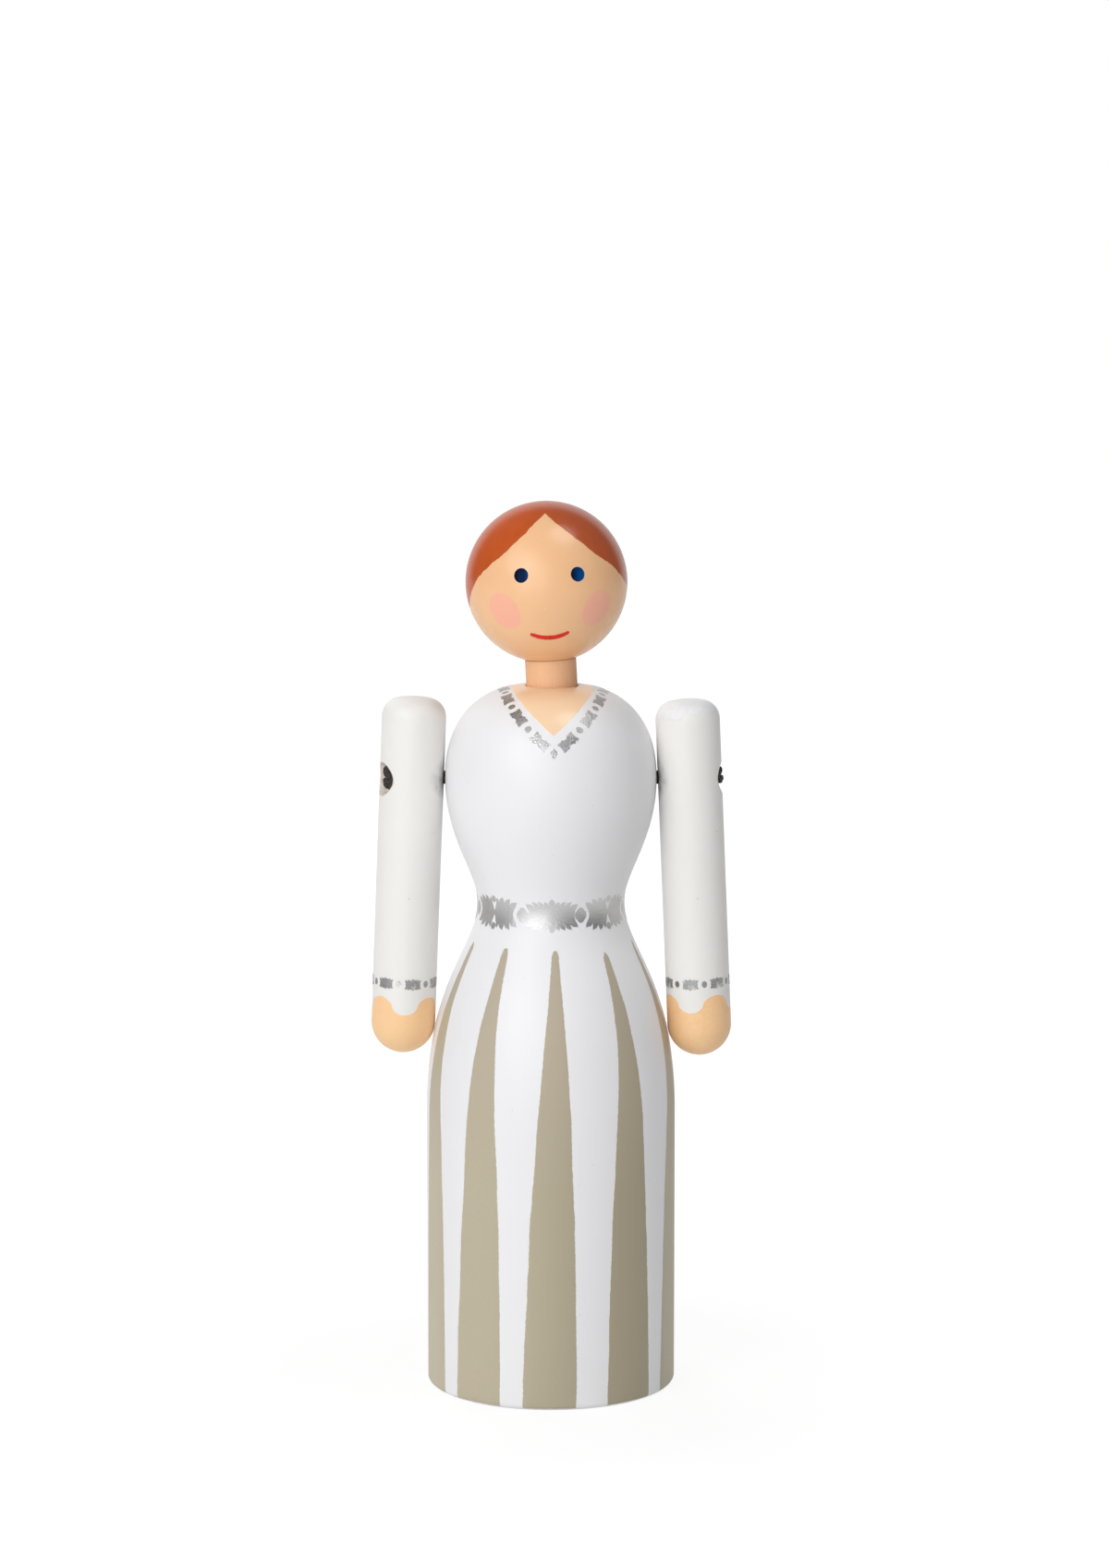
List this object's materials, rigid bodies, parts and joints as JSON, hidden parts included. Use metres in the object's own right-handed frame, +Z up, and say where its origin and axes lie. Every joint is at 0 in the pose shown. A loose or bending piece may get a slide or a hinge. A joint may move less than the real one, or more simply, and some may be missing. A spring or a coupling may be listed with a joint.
{
  "type": "wooden doll",
  "caption": "Turned, painted wooden doll with a ball head that turns on its neck dowel and two round arms that swing on an elastic cord.",
  "frame": {"origin": "centre of the flat base, on the surface that the doll stands on", "axes": "+Z up along the body, -Y the way the face looks, -X the doll's own right side"},
  "size_m": [0.0689, 0.0476, 0.1697],
  "materials": {
    "white_paint": "turned beech under satin white paint, with beige skirt stripes and a silver printed leaf border",
    "skin_paint": "turned beech under satin skin-coloured paint, with auburn hair, pink cheeks and a red mouth",
    "bare_beech": "turned beech dowel with a thin matt skin-coloured stain",
    "steel": "plain ground pin",
    "elastic": "black braided round elastic",
    "silver_print": "thin silver print with a fine grain"
  },
  "bodies": {
    "torso": {"body": "white_paint", "arm_cord": "elastic", "neck_pin": "steel"},
    "head": {"head": "skin_paint", "neck_dowel": "bare_beech"},
    "right_arm": {"right_arm": "white_paint", "right_cord_knot": "elastic"},
    "left_arm": {"left_arm": "white_paint", "left_cord_knot": "elastic"}
  },
  "joints": [
    {"name": "head_turn", "type": "hinge", "parent": "torso", "child": "head", "pos_m": [0.0002, 0, 0.1348], "axis": [-0.0523, 0, 0.9986], "continuous": true},
    {"name": "right_arm_swing", "type": "hinge", "parent": "torso", "child": "right_arm", "pos_m": [-0.0264, 0, 0.1172], "axis": [-1, 0, 0], "continuous": true},
    {"name": "left_arm_swing", "type": "hinge", "parent": "torso", "child": "left_arm", "pos_m": [0.0264, 0, 0.1172], "axis": [-1, 0, 0], "continuous": true}
  ]
}
